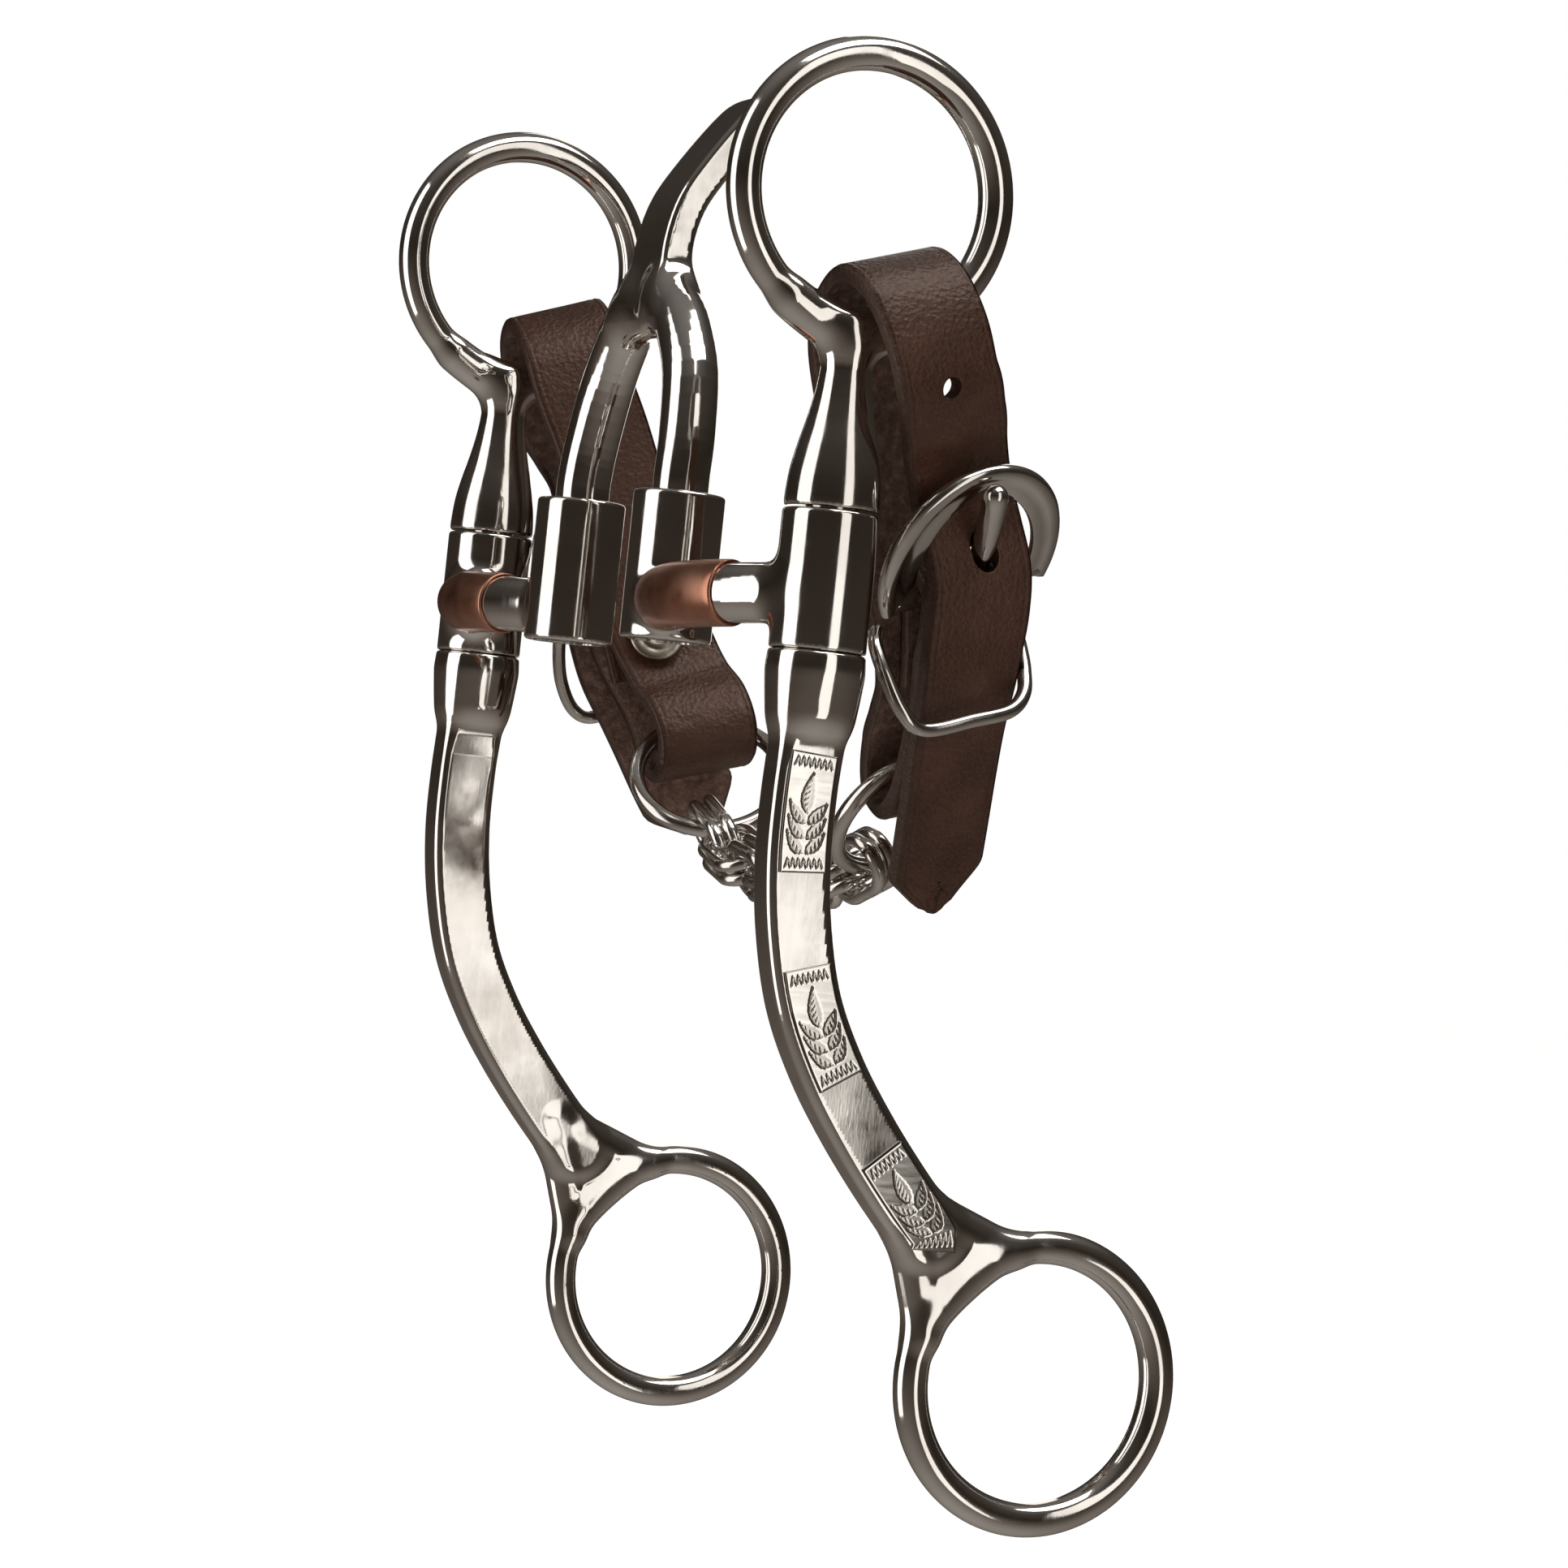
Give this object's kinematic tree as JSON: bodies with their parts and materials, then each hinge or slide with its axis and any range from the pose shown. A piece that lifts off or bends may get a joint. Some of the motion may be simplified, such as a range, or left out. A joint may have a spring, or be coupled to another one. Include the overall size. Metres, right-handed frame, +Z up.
{
  "type": "curb bit",
  "caption": "Loose-cheek western curb bit with a hinged wishbone port, copper-wrapped mouth bars, engraved swept shanks and a buckled leather and chain curb strap",
  "frame": {"origin": "middle of the mouthpiece, on the line between the two cheek barrels at their mid height", "axes": "+Z up along the cheek barrels, +Y to the rear where the curb chain hangs, +X to the horse's left cheek"},
  "size_m": [0.1633, 0.0899, 0.2126],
  "materials": {
    "steel": "polished",
    "plate": "bright with engraved lines",
    "copper": "satin",
    "leather": "dark grained",
    "rivet": "dull nickel"
  },
  "bodies": {
    "mouth_root": {"port": "steel", "leg_retainers": "steel"},
    "left_bar": {"left_mouth_bar": "steel", "left_copper_sleeve": "copper"},
    "left_cheek_piece": {"left_cheek": "steel", "left_shank": "steel", "left_plate_upper": "plate", "left_plate_middle": "plate", "left_plate_lower": "plate"},
    "left_pin": {"left_pivot_pin": "steel"},
    "left_strap": {"left_curb_strap": "leather", "left_buckle": "steel", "left_keeper": "steel", "left_strap_rivet": "rivet", "left_end_ring": "steel"},
    "left_tongue": {"left_buckle_tongue": "steel"},
    "right_bar": {"right_mouth_bar": "steel", "right_copper_sleeve": "copper"},
    "right_cheek_piece": {"right_cheek": "steel", "right_shank": "steel", "right_plate_upper": "plate", "right_plate_middle": "plate", "right_plate_lower": "plate"},
    "right_pin": {"right_pivot_pin": "steel"},
    "right_strap": {"right_curb_strap": "leather", "right_buckle": "steel", "right_keeper": "steel", "right_strap_rivet": "rivet", "right_end_ring": "steel"},
    "right_tongue": {"right_buckle_tongue": "steel"},
    "chain": {"chain_link_1": "steel", "chain_link_2": "steel", "chain_link_3": "steel", "chain_link_4": "steel", "chain_link_5": "steel", "chain_link_6": "steel", "chain_link_7": "steel"}
  },
  "joints": [
    {"name": "left_bar_hinge", "type": "hinge", "parent": "mouth_root", "child": "left_bar", "pos_m": [0.0205, -0.0033, 0], "axis": [0, 0, 1], "range_deg": [-3, 3]},
    {"name": "right_bar_hinge", "type": "hinge", "parent": "mouth_root", "child": "right_bar", "pos_m": [-0.0205, -0.0033, 0], "axis": [0, 0, 1], "range_deg": [-3, 3]},
    {"name": "left_cheek_swivel", "type": "hinge", "parent": "left_bar", "child": "left_cheek_piece", "pos_m": [0.0704, 0, 0], "axis": [0, 0, 1], "range_deg": [-3, 3]},
    {"name": "right_cheek_swivel", "type": "hinge", "parent": "right_bar", "child": "right_cheek_piece", "pos_m": [-0.0704, 0, 0], "axis": [0, 0, 1], "range_deg": [-3, 3]},
    {"name": "left_pin_turn", "type": "hinge", "parent": "left_bar", "child": "left_pin", "pos_m": [0.0704, 0, 0], "axis": [0, 0, 1], "range_deg": [-3, 3]},
    {"name": "right_pin_turn", "type": "hinge", "parent": "right_bar", "child": "right_pin", "pos_m": [-0.0704, 0, 0], "axis": [0, 0, 1], "range_deg": [-3, 3]},
    {"name": "left_curb_swing", "type": "hinge", "parent": "left_pin", "child": "left_strap", "pos_m": [0.0704, 0.001, 0.056], "axis": [1, 0, 0], "range_deg": [0, 30]},
    {"name": "right_curb_swing", "type": "hinge", "parent": "right_pin", "child": "right_strap", "pos_m": [-0.0704, 0.001, 0.056], "axis": [1, 0, 0], "range_deg": [0, 30]},
    {"name": "left_tongue_lift", "type": "hinge", "parent": "left_strap", "child": "left_tongue", "pos_m": [0.062, 0.0259, 0.0026], "axis": [-0.0819, 0.9361, 0.342], "range_deg": [0, 5]},
    {"name": "right_tongue_lift", "type": "hinge", "parent": "right_strap", "child": "right_tongue", "pos_m": [-0.06175, 0.0231, 0.0048], "axis": [-0.0819, -0.9361, -0.342], "range_deg": [0, 5]},
    {"name": "chain_swing", "type": "hinge", "parent": "left_strap", "child": "chain", "pos_m": [0.0001, 0.029, -0.0366], "axis": [0.9981, -0.0345, -0.0518], "range_deg": [-12, 12]}
  ],
  "couplings": [
    {"joint": "right_bar_hinge", "follows": "left_bar_hinge", "ratio": -1},
    {"joint": "left_pin_turn", "follows": "left_bar_hinge", "ratio": -1},
    {"joint": "right_pin_turn", "follows": "left_bar_hinge", "ratio": 1},
    {"joint": "right_curb_swing", "follows": "left_curb_swing", "ratio": 1}
  ]
}
